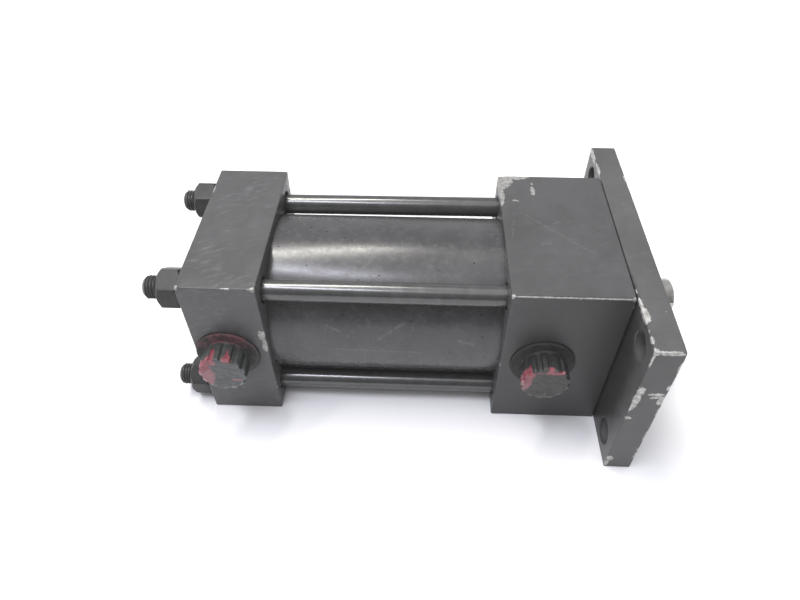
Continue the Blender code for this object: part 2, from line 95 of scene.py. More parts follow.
EDGE_ROUND = 0.42 * MM
PAST = 3 * MM                        # how far a cutter runs past a face
VEIL = 0.012                         # linear light that the view adds to black
CAMERA_PLACE = (-0.0014, -0.1661, 0.2004)
CAMERA_TURN = (43.91, 0.15, 2.26)    # degrees
CAMERA_LENS = 28.13
BRIGHT_SIDE = (-0.25, 0.50, 0.83)    # where the studio is brightest


# ---------------------------------------------------------------- mesh helpers

def new_object(name, mesh):
    item = bpy.data.objects.new(name, mesh)
    bpy.context.scene.collection.objects.link(item)
    return item


def finish_mesh(item, material, body, nodes, angle=32):
    """Shade and paint a piece that stands for CAD nodes, hang it on its body and hide those nodes.
    """
    item.data.shade_smooth()
    item.data.set_sharp_from_angle(angle=radians(angle))
    item.data.materials.clear()
    item.data.materials.append(material)
    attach(item, body)
    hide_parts(*nodes)
    return item


def grid_mesh(name, rows, closed_rows):
    """A mesh from rows of points around a closed turn; end rows of one point are tips."""
    shape = bmesh.new()
    made = [[shape.verts.new(point) for point in row] for row in rows]
    pairs = list(zip(made, made[1:]))
    if closed_rows:
        pairs.append((made[-1], made[0]))
    for first, second in pairs:
        count = max(len(first), len(second))
        for i in range(count):
            j = (i + 1) % count
            if len(first) == len(second) == 1:
                continue
            if len(first) == 1:
                shape.faces.new((first[0], second[j], second[i]))
            elif len(second) == 1:
                shape.faces.new((first[i], first[j], second[0]))
            else:
                shape.faces.new((first[i], first[j], second[j], second[i]))
    bmesh.ops.recalc_face_normals(shape, faces=shape.faces)
    mesh = bpy.data.meshes.new(name)
    shape.to_mesh(mesh)
    shape.free()
    return mesh


def lathe(name, outline, centre, axis, turns, radius_at=None):
    """Turn an outline of (along, radius) about an axis through centre.

    radius_at(along, radius, angle) may move each point; the outline is closed into a
    ring unless both of its ends lie on the axis.
    """
    frames = {
        "X": (Vector((1, 0, 0)), Vector((0, 0, 1)), Vector((0, -1, 0))),
        "-Y": (Vector((0, -1, 0)), Vector((1, 0, 0)), Vector((0, 0, 1))),
    }
    along_dir, up, side = frames[axis]
    rows = []
    for along, radius in outline:
        if radius == 0:
            rows.append([centre + along_dir * along])
            continue
        row = []
        for i in range(turns):
            angle = 2 * pi * i / turns
            r, a = (radius, along)
            if radius_at:
                r, a = radius_at(along, radius, angle)
            row.append(centre + along_dir * a + (up * cos(angle) + side * sin(angle)) * r)
        rows.append(row)
    return grid_mesh(name, rows, closed_rows=outline[0][1] != 0)


def cut(item, *cutters):
    """Cut meshes out of an object for good."""
    for mesh in cutters:
        tool = new_object("tool", mesh)
        boolean = item.modifiers.new("cut", "BOOLEAN")
        boolean.operation = "DIFFERENCE"
        boolean.solver = "EXACT"
        boolean.object = tool
        bpy.context.view_layer.update()
        graph = bpy.context.evaluated_depsgraph_get()
        made = bpy.data.meshes.new_from_object(item.evaluated_get(graph))
        item.modifiers.clear()
        item.data = made
        bpy.data.objects.remove(tool)


# ---------------------------------------------------------------- node graphs

def shade(tone, factor):
    return tuple(part * factor for part in tone)


class Graph:
    """Builds one material's nodes; every call returns an output socket."""

    def __init__(self, name):
        self.material = bpy.data.materials.new(name)
        self.material.use_nodes = True
        self.tree = self.material.node_tree
        self.shader = self.tree.nodes["Principled BSDF"]
        coordinates = self.add("TexCoord")
        scaled = self.add("VectorMath")
        scaled.operation = "SCALE"
        scaled.inputs["Scale"].default_value = 1 / MM
        self.tree.links.new(coordinates.outputs["Object"], scaled.inputs[0])
        self.place = scaled.outputs[0]

    def add(self, kind):
        return self.tree.nodes.new("ShaderNode" + kind)

    def feed(self, socket, value):
        if isinstance(value, bpy.types.NodeSocket):
            self.tree.links.new(value, socket)
        elif value is not None:
            socket.default_value = value

    def math(self, operation, a, b=None, c=None, clamp=False):
        node = self.add("Math")
        node.operation = operation
        node.use_clamp = clamp
        for socket, value in zip(node.inputs, (a, b, c)):
            self.feed(socket, value)
        return node.outputs[0]

    def times(self, a, b):
        return self.math("MULTIPLY", a, b)

    def scaled(self, value, factor, more):
        """value times factor, plus more."""
        return self.math("MULTIPLY_ADD", value, factor, more)

    def vector(self, operation, a, b=None):
        node = self.add("VectorMath")
        node.operation = operation
        self.feed(node.inputs[0], a)
        if operation == "SCALE":
            self.feed(node.inputs["Scale"], b)
        else:
            self.feed(node.inputs[1], b)
        return node.outputs["Value" if operation in ("LENGTH", "DOT_PRODUCT") else 0]

    def warp(self, turn, scale):
        """The place, turned by degrees and then scaled."""
        node = self.add("Mapping")
        node.vector_type = "TEXTURE"
        self.feed(node.inputs["Vector"], self.place)
        node.inputs["Rotation"].default_value = [radians(a) for a in turn]
        node.inputs["Scale"].default_value = scale
        return node.outputs[0]

    def noise(self, size, detail=3.0, rough=0.55, vector=None, colour=False, seed=0.0):
        """Noise with features of about size millimetres."""
        node = self.add("TexNoise")
        node.noise_dimensions = "4D"
        self.feed(node.inputs["Vector"], vector or self.place)
        node.inputs["W"].default_value = seed
        node.inputs["Scale"].default_value = 1 / size
        node.inputs["Detail"].default_value = detail
        node.inputs["Roughness"].default_value = rough
        return node.outputs["Color" if colour else "Fac"]

    def cells(self, size):
        """Distance, in sizes, to the nearest of points about size millimetres apart."""
        node = self.add("TexVoronoi")
        self.feed(node.inputs["Vector"], self.place)
        node.inputs["Scale"].default_value = 1 / size
        return node.outputs["Distance"]

    def step(self, value, low, high, out_low=0.0, out_high=1.0):
        """Smooth step of value from low to high."""
        node = self.add("MapRange")
        node.interpolation_type = "SMOOTHSTEP"
        self.feed(node.inputs["Value"], value)
        for name, number in (("From Min", low), ("From Max", high),
                             ("To Min", out_low), ("To Max", out_high)):
            self.feed(node.inputs[name], number)
        return node.outputs[0]

    def mix(self, factor, a, b):
        """Blend of two colours."""
        node = self.add("Mix")
        node.data_type = "RGBA"
        self.feed(node.inputs[0], factor)
        self.feed(node.inputs[6], (*a, 1) if isinstance(a, tuple) else a)
        self.feed(node.inputs[7], (*b, 1) if isinstance(b, tuple) else b)
        return node.outputs[2]

    def blend(self, factor, a, b):
        """Blend of two numbers."""
        node = self.add("Mix")
        self.feed(node.inputs[0], factor)
        self.feed(node.inputs[2], a)
        self.feed(node.inputs[3], b)
        return node.outputs[0]

    def bump(self, height, depth, strength):
        """Bump of a 0 to 1 height, depth millimetres deep."""
        node = self.add("Bump")
        node.inputs["Strength"].default_value = strength
        node.inputs["Distance"].default_value = depth * MM
        self.feed(node.inputs["Height"], height)
        self.tree.links.new(node.outputs[0], self.shader.inputs["Normal"])

    def finish(self, colour, roughness, metallic=0.0, specular=0.5):
        self.feed(self.shader.inputs["Base Color"], colour)
        self.feed(self.shader.inputs["Roughness"], roughness)
        self.feed(self.shader.inputs["Metallic"], metallic)
        self.shader.inputs["Specular IOR Level"].default_value = specular
        return self.material

    def separate(self, vector):
        node = self.add("SeparateXYZ")
        self.feed(node.inputs[0], vector)
        return node.outputs

    def edge_distance(self, low, high):
        """Distance in millimetres to the nearest edge of a box, on the box's surface."""
        centre = (low + high) / 2 / MM
        half = (high - low) / 2 / MM
        offset = self.vector("ABSOLUTE", self.vector("SUBTRACT", self.place, centre))
        a, b, c = self.separate(self.vector("SUBTRACT", half, offset))
        smaller = self.math("MINIMUM", a, b)
        larger = self.math("MAXIMUM", a, b)
        return self.math("MAXIMUM", smaller, self.math("MINIMUM", larger, c))

    def near_top_edge(self, low, high):
        """Distance in millimetres to the straight edge between the -Y and the top face."""
        across = self.vector("SUBTRACT", self.place, (0, low.y / MM, high.z / MM))
        return self.vector("LENGTH", self.vector("MULTIPLY", across, (0, 1, 1)))

    def spots(self, places, ragged):
        """Field that is below 1 inside ellipsoids (x, y, z, half sizes), ragged by noise."""
        moved = self.place
        for size, share in ((2.2, 1.0), (0.6, 0.6)):
            jitter = self.noise(size, 4.0, 0.7, colour=True, seed=size)
            jitter = self.vector("SUBTRACT", jitter, (0.5,) * 3)
            moved = self.vector("ADD", moved, self.vector("SCALE", jitter, ragged * share))
        field = None
        for x, y, z, sx, sy, sz in places:
            apart = self.vector("SUBTRACT", moved, (x, y, z))
            reach = self.vector("LENGTH", self.vector("DIVIDE", apart, (sx, sy, sz)))
            field = reach if field is None else self.math("MINIMUM", field, reach)
        return field

    def strokes(self, lines):
        """1 along soft ragged scratches, each (start, end, half width) in millimetres."""
        wobble = self.scaled(self.noise(1.6, 4, 0.7, seed=21.0), 0.9, -0.45)
        gaps = self.step(self.noise(1.1, 4, 0.7, seed=22.0), 0.40, 0.56)
        field = None
        for start, end, half in lines:
            ahead = (end - start).normalized()
            offset = self.vector("SUBTRACT", self.place, (start + end) / 2)
            along = self.vector("DOT_PRODUCT", offset, ahead)
            side = self.vector("SUBTRACT", offset, self.vector("SCALE", tuple(ahead), along))
            aside = self.math("ADD", self.vector("LENGTH", side), wobble)
            reach = (end - start).length / 2
            inside = self.step(self.math("ABSOLUTE", along), reach, reach * 0.7)
            line = self.times(self.step(aside, half, half * 0.3), inside)
            field = line if field is None else self.math("MAXIMUM", field, line)
        return self.times(field, gaps)

    def stain_and_shade_patches(self, places):
        """Soft ellipsoids (x, y, z, half sizes, strength) that fade towards their edges."""
        wobble = self.scaled(self.noise(4.0, 4, 0.65, seed=20.0), 0.6, -0.3)
        field = None
        for x, y, z, sx, sy, sz, strength in places:
            apart = self.vector("SUBTRACT", self.place, (x, y, z))
            reach = self.vector("LENGTH", self.vector("DIVIDE", apart, (sx, sy, sz)))
            soft = self.step(self.math("ADD", reach, wobble), 1.0, 0.45, 0.0, strength)
            field = soft if field is None else self.math("MAXIMUM", field, soft)
        return field


# ---------------------------------------------------------------- materials

def painted(name, low, high, chips, tone, smudge, pale_marks, oil_and_painted_shade, scuffs=(), shine=1.0):
    """Dark satin paint over steel, bare where it has chipped and worn.

    smudge is the strength of the wiped streaks; the next argument is how much of the near top edge
    gets a painted highlight, a thin line in the colour of bare steel; the one after lists dark
    patches: oily stains round the ports, and painted shade on faces where the light falls less;
    scuffs are the long pale scratches, shine the brightness of the bare steel.
    """
    g = Graph(name)
    cloud = g.noise(24, 3, 0.5)
    blotch = g.noise(6, 4, 0.6, seed=3.1)
    wiped = g.noise(1.5, 4, 0.66, g.warp((0, 0, 27), (3.0, 1, 1)), seed=7.7)
    streak_zone = g.step(g.noise(15, 3, 0.6, seed=5.5), 0.40, 0.60)
    grain = g.noise(0.24, 2, 0.5, seed=1.3)
    lift = g.scaled(cloud, 0.55, g.times(blotch, 0.45))
    streak = g.times(g.step(wiped, 0.49, 0.68), streak_zone)
    lighter = shade(tone, 1.16)
    darker = shade(tone, 0.86)
    paint = g.mix(g.step(lift, 0.34, 0.66), darker, lighter)
    paint = g.mix(g.times(streak, smudge), paint, shade(tone, 1.75))
    paint = g.mix(g.times(g.step(grain, 0.45, 0.8), 0.14), paint, (0.13, 0.13, 0.13))
    # dark patches: oily stains round the ports, and painted shade on faces where the light falls
    # less
    paint = g.mix(g.stain_and_shade_patches(oil_and_painted_shade), paint, (0.016, 0.016, 0.016))

    # thin scratches in two directions
    lines = None
    for turn, size, seed in (((0, 12, 33), 0.5, 2.0), ((8, 0, -61), 0.7, 5.0)):
        fibre = g.noise(size, 1, 0.4, g.warp(turn, (34, 1, 1)), seed=seed)
        gate = g.step(g.noise(9, 2, 0.5, seed=seed + 4), 0.58, 0.66)
        line = g.times(g.step(fibre, 0.745, 0.77), gate)
        lines = line if lines is None else g.math("MAXIMUM", lines, line)
    paint = g.mix(g.times(lines, 0.30), paint, (0.17, 0.17, 0.17))

    if scuffs:
        paint = g.mix(g.times(g.strokes(scuffs), 0.35), paint, (0.155, 0.155, 0.155))

    # chips at known places, wear along the edges, and a painted highlight along the near top edge
    field = g.spots(chips, 1.7)
    ragged = g.scaled(g.noise(0.7, 4, 0.72, seed=9.0), 1.3, -0.65)
    field = g.math("ADD", field, ragged)
    chipped = g.step(field, 1.03, 0.97)
    rim = g.math("SUBTRACT", g.step(field, 1.20, 1.02), chipped, clamp=True)
    edge = g.edge_distance(low, high)
    reach = g.step(g.noise(7, 3, 0.6, seed=11.0), 0.58, 0.80, 0.0, 0.8)
    reach = g.times(reach, g.step(g.noise(1.1, 3, 0.6, seed=4.0), 0.40, 0.60))
    worn = g.step(g.math("SUBTRACT", edge, reach), 0.04, -0.04)
    # painted highlight: a thin line of bare-steel colour along the near top edge, where the rounded
    # edge catches the light
    width = g.scaled(g.noise(1.3, 3, 0.6, seed=15.0), 0.45, 0.13)
    line = g.step(g.math("SUBTRACT", g.near_top_edge(low, high), width), 0.06, -0.06)
    share = g.step(g.noise(5, 3, 0.6, seed=16.0), 0.66 - 0.36 * pale_marks, 0.72 - 0.36 * pale_marks)
    line = g.times(line, share)
    specks = g.times(g.step(g.cells(6.0), 0.040, 0.028),
                     g.step(g.noise(14, 2, 0.5, seed=6.0), 0.54, 0.62))
    # bare steel colour where chipped or worn, and along the painted highlight line
    bare = g.math("MAXIMUM", g.math("MAXIMUM", chipped, worn), g.math("MAXIMUM", specks, line))

    steel = g.mix(g.step(g.noise(1.3, 4, 0.65, seed=8.0), 0.35, 0.70),
                  shade((0.220, 0.215, 0.204), shine),
                  shade((0.420, 0.415, 0.405), shine))
    steel = g.mix(g.times(g.step(g.noise(0.5, 3, 0.6, seed=12.0), 0.60, 0.72), 0.5),
                  steel, (0.13, 0.125, 0.12))
    paint = g.mix(g.times(rim, 0.5), paint, (0.035, 0.034, 0.034))
    colour = g.mix(bare, paint, steel)
    satin = g.scaled(blotch, 0.14, 0.36)
    satin = g.math("ADD", satin, g.times(lines, 0.08))
    roughness = g.blend(bare, satin, 0.46)
    metallic = g.times(bare, 0.30)
    height = g.scaled(g.noise(0.55, 3, 0.55, seed=2.2), 0.13,
                      g.times(g.math("SUBTRACT", 1.0, bare), 0.8))
    height = g.math("SUBTRACT", height, g.times(lines, 0.12))
    g.bump(height, 0.06, 0.8)
    return g.finish(colour, roughness, metallic)


# Pale scratches on the tube. An end is given by its distance from the cap in millimetres
# and its angle up from the -Y side in degrees; the half width in millimetres comes last
TUBE_SCUFFS = [
    ((35, 7), (47, 26), 0.9),
    ((31, 24), (31, 2), 0.5),
    ((17, 1), (55, -1), 0.5),
    ((19, 22), (25, 16), 0.7),
    ((15, 103), (20, 81), 0.4),
    ((64, 12), (71, 8), 1.0),
]

# The same on the head's top, with distances from its inner face and from its middle
HEAD_SCUFFS = [
    ((5.5, 11), (29.5, -12), 0.5),
    ((11.5, -7), (15.5, -6), 0.9),
    ((17, 4), (20, 5), 0.8),
    ((2.5, -4), (4, 6), 0.4),
]


def on_tube(station, degrees):
    """Point on the tube, in millimetres."""
    angle = radians(degrees)
    point = Vector((CAP_HIGH.x, -TUBE_RADIUS * cos(angle), AXIS_Z + TUBE_RADIUS * sin(angle)))
    return point / MM + Vector((station, 0, 0))


def on_head(station, aside):
    """Point on the head's top, in millimetres."""
    return Vector((HEAD_LOW.x / MM + station, aside, HEAD_HIGH.z / MM))


def placed(scuffs, surface):
    """Scratches with their ends as points of a surface."""
    return [(surface(*start), surface(*end), half) for start, end, half in scuffs]


def tube_paint():
    """Glossier dark paint on drawn tube, with small pits and draw lines."""
    g = Graph("tube_paint")
    drawn = g.noise(1.3, 1, 0.5, g.warp((0, 0, 0), (30, 1, 1)), seed=1.0)
    cloud = g.noise(12, 4, 0.6, seed=2.0)
    mottle = g.noise(1.8, 2, 0.5, seed=3.0)
    base = g.mix(g.step(cloud, 0.35, 0.68), (0.047, 0.045, 0.047), (0.066, 0.064, 0.066))
    base = g.mix(g.times(g.step(mottle, 0.45, 0.75), 0.3), base, (0.10, 0.10, 0.10))
    pits = g.times(g.step(g.cells(3.4), 0.105, 0.065),
                   g.step(g.noise(8, 2, 0.5, seed=5.0), 0.46, 0.54))
    scratched = g.times(g.strokes(placed(TUBE_SCUFFS, on_tube)), 0.55)
    colour = g.mix(scratched, base, (0.15, 0.148, 0.147))
    colour = g.mix(pits, colour, (0.006, 0.006, 0.006))
    roughness = g.scaled(mottle, 0.20, 0.15)
    roughness = g.math("MAXIMUM", roughness, g.times(pits, 0.45))
    height = g.scaled(drawn, 0.5, g.times(mottle, 0.35))
    g.bump(height, 0.012, 0.9)
    return g.finish(colour, roughness, g.times(pits, 0.95), 0.50)


def black_steel(name, tone, gloss, lift=0.15, specular=0.5):
    """Oiled black steel with drawn lines along X and a few rubbed flecks."""
    g = Graph(name)
    drawn = g.noise(0.5, 2, 0.5, g.warp((0, 0, 0), (60, 1, 1)), seed=1.0)
    cloud = g.noise(4.0, 4, 0.6, seed=2.0)
    pale_marks = g.step(g.noise(2.6, 4, 0.62, seed=3.0), 0.64, 0.78)
    base = g.mix(g.step(cloud, 0.35, 0.7), (tone * 0.85,) * 3, (tone * 1.25,) * 3)
    colour = g.mix(g.times(pale_marks, lift), base, (0.19, 0.188, 0.185))
    roughness = g.scaled(cloud, 0.10, gloss)
    g.bump(g.scaled(drawn, 0.5, g.times(cloud, 0.3)), 0.008, 0.6)
    return g.finish(colour, roughness, 0.15, specular)


def rod_steel():
    """Ground chrome rod: rings round the axis, handling stains, fine nicks."""
    g = Graph("rod_chrome")
    rings = g.noise(0.18, 2, 0.5, g.warp((0, 0, 0), (1, 60, 60)), seed=1.0)
    stain = g.noise(4.5, 4, 0.6, seed=2.0)
    nicks = g.step(g.cells(1.7), 0.09, 0.05)
    base = g.mix(g.step(stain, 0.40, 0.68), (0.60, 0.59, 0.57), (0.34, 0.32, 0.29))
    colour = g.mix(g.times(nicks, 0.6), base, (0.12, 0.11, 0.10))
    roughness = g.scaled(stain, 0.28, 0.12)
    g.bump(g.math("SUBTRACT", g.times(rings, 0.6), nicks), 0.01, 0.6)
    return g.finish(colour, roughness, 0.95)


def turned_metal(name, light, dark, roughness):
    """Machined metal with tool rings and slight tarnish."""
    g = Graph(name)
    rings = g.noise(0.25, 2, 0.5, g.warp((0, 0, 0), (1, 40, 40)), seed=1.0)
    tarnish = g.noise(3.5, 4, 0.6, seed=2.0)
    colour = g.mix(g.step(tarnish, 0.35, 0.7), light, dark)
    rough = g.scaled(tarnish, 0.2, roughness)
    g.bump(rings, 0.02, 0.6)
    return g.finish(colour, rough, 0.9)


def rubber(name, tone=0.022):
    g = Graph(name)
    bloom = g.noise(2.8, 4, 0.6, seed=1.0)
    grain = g.noise(0.15, 2, 0.5, seed=2.0)
    colour = g.mix(g.step(bloom, 0.45, 0.75), (tone,) * 3, (tone * 2.4, tone * 2.3, tone * 2.3))
    g.bump(grain, 0.03, 0.5)
    return g.finish(colour, g.scaled(bloom, 0.2, 0.55))


def band_plastic():
    g = Graph("band_plastic")
    flakes = g.noise(0.5, 3, 0.6, seed=1.0)
    colour = g.mix(g.step(flakes, 0.4, 0.7), (0.30, 0.21, 0.12), (0.40, 0.30, 0.19))
    g.bump(flakes, 0.02, 0.5)
    return g.finish(colour, g.scaled(flakes, 0.2, 0.45))


def plug_plastic(name, centre, bare_spots, face_tone, side_tone, collar_red):
    """Red moulded plastic under grey overspray, rubbed off at its high spots.

    face_tone and side_tone are the greys of the end face and the flutes, collar_red how
    much red shows on the collar.
    """
    g = Graph(name)
    local = g.vector("SUBTRACT", g.place, centre / MM)
    _, out, up = g.separate(local)
    radial = g.vector("LENGTH", g.vector("MULTIPLY", local, (1, 0, 1)))
    mottle = g.noise(1.6, 4, 0.65, seed=2.0)

    hue = g.noise(2.2, 4, 0.65, seed=1.0)
    red = g.mix(g.step(hue, 0.40, 0.62), (0.190, 0.036, 0.050), (0.265, 0.078, 0.098))
    chalk = g.step(g.math("ADD", g.noise(3.2, 4, 0.6, seed=6.0), g.times(up, -0.03)),
                   0.40, 0.56)
    red = g.mix(g.times(chalk, 0.85), red, (0.250, 0.118, 0.138))
    pits = g.step(g.noise(0.8, 3, 0.6, seed=8.0), 0.66, 0.74)
    red = g.mix(g.times(pits, 0.7), red, (0.060, 0.018, 0.024))

    side = g.mix(g.step(mottle, 0.35, 0.7), shade(side_tone, 0.5), side_tone)
    streaky = g.noise(1.3, 4, 0.7, g.warp((0, 25, 0), (3, 1, 1)), seed=12.0)
    end = g.mix(g.step(streaky, 0.38, 0.62), shade(face_tone, 0.60), face_tone)
    end = g.mix(g.step(g.noise(2.4, 4, 0.6, seed=13.0), 0.58, 0.72), end,
                shade(face_tone, 1.5))
    grey = g.mix(g.step(out, -8.6, -8.95), side, end)
    collar = g.mix(g.step(mottle, 0.38, 0.66), (0.014, 0.014, 0.015), (0.036, 0.036, 0.037))
    outer = g.step(g.math("SUBTRACT", radial, g.times(up, 0.12)), 8.8, 10.4)
    collar = g.mix(g.times(outer, 0.6), collar, shade(side_tone, 1.1))
    blush = g.times(g.step(g.noise(2.0, 4, 0.65, seed=9.0), 0.40, 0.60),
                    g.step(up, 2.5, 7.0))
    collar = g.mix(g.times(blush, collar_red), collar, (0.150, 0.056, 0.064))
    on_collar = g.step(out, -1.7, -1.2)

    places = [(centre.x / MM + x, centre.y / MM + y, centre.z / MM + z, a, b, c)
              for x, y, z, a, b, c in bare_spots]
    field = g.spots(places, 1.3)
    field = g.math("ADD", field, g.scaled(g.noise(0.7, 3, 0.6, seed=4.0), 0.8, -0.4))
    shown = g.step(field, 1.06, 0.94)
    freckles = g.step(g.noise(0.55, 4, 0.7, seed=5.0), 0.72, 0.78)
    shown = g.math("MAXIMUM", shown, g.times(freckles, 0.3))
    shown = g.times(shown, g.math("SUBTRACT", 1.0, on_collar))
    colour = g.mix(on_collar, grey, collar)
    colour = g.mix(shown, colour, red)

    # the ragged rim of the end face is a broken light line along its lower part
    rim = g.math("ADD", radial, g.scaled(g.noise(1.5, 3, 0.6, seed=10.0), 1.2, -0.6))
    rim = g.times(g.step(rim, 7.0, 7.3), g.step(out, -8.3, -8.7))
    rim = g.times(rim, g.step(g.noise(1.1, 3, 0.6, seed=11.0), 0.36, 0.48))
    rim = g.times(rim, g.step(up, 3.0, -1.5))
    pale_marks = g.mix(shown, shade(face_tone, 2.2), (0.340, 0.235, 0.250))
    colour = g.mix(g.times(rim, 0.9), colour, pale_marks)
    height = g.math("ADD", g.noise(0.6, 3, 0.6, seed=3.0), g.math("SUBTRACT", 1.0, shown))
    g.bump(height, 0.05, 0.7)
    satin = g.blend(on_collar, g.blend(shown, 0.58, 0.42), 0.8)
    return g.finish(colour, satin)


# ---------------------------------------------------------------- blocks and flange

# Nicks are a place, a reach and a bite; chips are a place and half sizes; dark patches, which are
# oily stains and painted shade, are a place, half sizes and a strength. All are in millimetres,
# apart from the strength

def rough_block(name, low, high, nicks):
    """A block with small rounded edges, slightly uneven and nicked like machined bar."""
    step = 2.6 * MM
    rim_width = 0.9 * MM
    size = high - low
    shape = bmesh.new()
    bmesh.ops.create_cube(shape, size=1, matrix=Matrix.Translation((low + high) / 2)
                          @ Matrix.Diagonal((*size, 1)))
    for axis in range(3):
        count = max(2, round(size[axis] / step))
        for i in range(1, count):
            point = Vector(low)
            point[axis] = low[axis] + size[axis] * i / count
            normal = Vector((0, 0, 0))
            normal[axis] = 1
            bmesh.ops.bisect_plane(shape, geom=shape.verts[:] + shape.edges[:] + shape.faces[:],
                                   plane_co=point, plane_no=normal)

    def on_edge(vertex):
        hits = sum(min(abs(vertex.co[a] - low[a]), abs(vertex.co[a] - high[a])) < 1e-6
                   for a in range(3))
        return hits >= 2

    rims = [e for e in shape.edges if on_edge(e.verts[0]) and on_edge(e.verts[1])
            and abs(e.calc_face_angle(0)) > 1]
    bmesh.ops.bevel(shape, geom=rims, offset=EDGE_ROUND, segments=3, profile=0.5,
                    affect="EDGES")
    centre = (low + high) / 2
    for vertex in shape.verts:
        near = sorted(min(vertex.co[a] - low[a], high[a] - vertex.co[a]) for a in range(3))
        if near[1] < rim_width:
            depth = 0.06 * MM * max(0.0, noise.noise(vertex.co / (3.5 * MM)))
            for x, y, z, radius, bite in nicks:
                apart = (vertex.co / MM - Vector((x, y, z))).length
                depth += bite * MM * max(0.0, 1 - apart / radius)
            inward = (centre - vertex.co)
            inward = Vector([inward[a] if min(vertex.co[a] - low[a], high[a] - vertex.co[a])
                             < rim_width else 0 for a in range(3)])
            if inward.length > 0:
                vertex.co += inward.normalized() * depth
    mesh = bpy.data.meshes.new(name)
    shape.to_mesh(mesh)
    shape.free()
    return new_object(name, mesh)


def hole(centre, radius, start, end, mouth=0.3 * MM, turns=64):
    """Cutter for a through hole along X with a chamfered mouth at both ends."""
    outline = [
        (start - PAST, 0),
        (start - PAST, radius + mouth + PAST),
        (start + mouth, radius),
        (end - mouth, radius),
        (end + PAST, radius + mouth + PAST),
        (end + PAST, 0),
    ]
    return lathe("cut", outline, centre, "X", turns)


def weighted(item):
    modifier = item.modifiers.new("even_normals", "WEIGHTED_NORMAL")
    modifier.keep_sharp = True
    modifier.weight = 80


def tie_cutters(radius, start, end):
    return [hole(Vector((0, *spot.yz)), radius, start, end) for spot in TIE_SPOTS.values()]


def port_cutter(station):
    """Tapered port in its spot face, and its passage to the middle."""
    centre = Vector((station, CAP_LOW.y, AXIS_Z))
    passage = 4 * MM
    outline = [
        (2 * MM, 0),
        (2 * MM, SPOT_RADIUS),
        (-SPOT_DEPTH, SPOT_RADIUS),
        (-SPOT_DEPTH, 8.2 * MM),
        (-SPOT_DEPTH - 0.4 * MM, 7.8 * MM),
        (-15 * MM, 7.3 * MM),
        (-15.4 * MM, passage),
        (passage - HALF_SIDE, passage),
        (passage - HALF_SIDE, 0),
    ]
    return lathe("cut", outline, centre, "-Y", 96)


def seat_cutter(inner, inward):
    """Annular seat that takes the tube's end."""
    low, high = BORE_RADIUS - CLEAR, TUBE_RADIUS + CLEAR
    outline = [
        (inner - inward * PAST, low),
        (inner - inward * PAST, high),
        (inner + inward * SEAT_DEPTH, high),
        (inner + inward * SEAT_DEPTH, low),
    ]
    return lathe("cut", outline, AXIS, "X", 128)


def port_stain(station, strength):
    """Oily stain round the port at a station along the cylinder."""
    return (station / MM, CAP_LOW.y / MM, AXIS_Z / MM, 17, 4, 17, strength)


def make_cap():
    nicks = [(-77.4, -31.5, 63.4, 1.6, 0.15), (-61.6, -31.7, 63.4, 2.2, 0.15),
             (-52.6, -31.4, 63.3, 1.8, 0.20), (-52.6, -31.6, 38, 5.0, 0.22)]
    cap = rough_block("cap_block_fine", CAP_LOW, CAP_HIGH, nicks)
    pocket_floor = CAP_HIGH.x - 19 * MM
    pocket_radius = 9.5 * MM
    pocket = [
        (pocket_floor, 0),
        (pocket_floor, pocket_radius),
        (CAP_HIGH.x + PAST, pocket_radius),
        (CAP_HIGH.x + PAST, 0),
    ]
    cut(cap, *tie_cutters(TIE_HOLE_RADIUS, CAP_LOW.x, CAP_HIGH.x),
        seat_cutter(CAP_HIGH.x, -1),
        lathe("cut", pocket, AXIS, "X", 96),
        port_cutter(CAP_PORT))
    chips = [
        (-77.3, -31.4, 63.3, 0.9, 0.9, 0.9),
        (-61.6, -31.7, 63.4, 2.4, 0.4, 0.45),
        (-52.9, -31.4, 63.2, 1.0, 0.9, 1.1),
        (-53.4, -31.8, 41.5, 1.5, 0.7, 2.6),
        (-52.9, -31.8, 36.5, 1.2, 0.7, 3.4),
        (-52.2, 30.6, 60.0, 0.5, 2.2, 3.6),
        (-77.4, -31.5, 30.0, 0.5, 0.5, 2.0),
        (-60.0, 31.6, 0.6, 4.0, 1.0, 0.8),
        (-77.5, 20.0, 63.3, 0.5, 3.0, 0.5),
        (-52.4, 31.5, 22.0, 0.9, 0.9, 3.0),
    ]
    material = painted("cap_paint", CAP_LOW, CAP_HIGH, chips, (0.068, 0.067, 0.069), 0.75, 0.1,
                       [port_stain(CAP_PORT, 0.6)])
    weighted(finish_mesh(cap, material, "cylinder", ["cap_block"]))


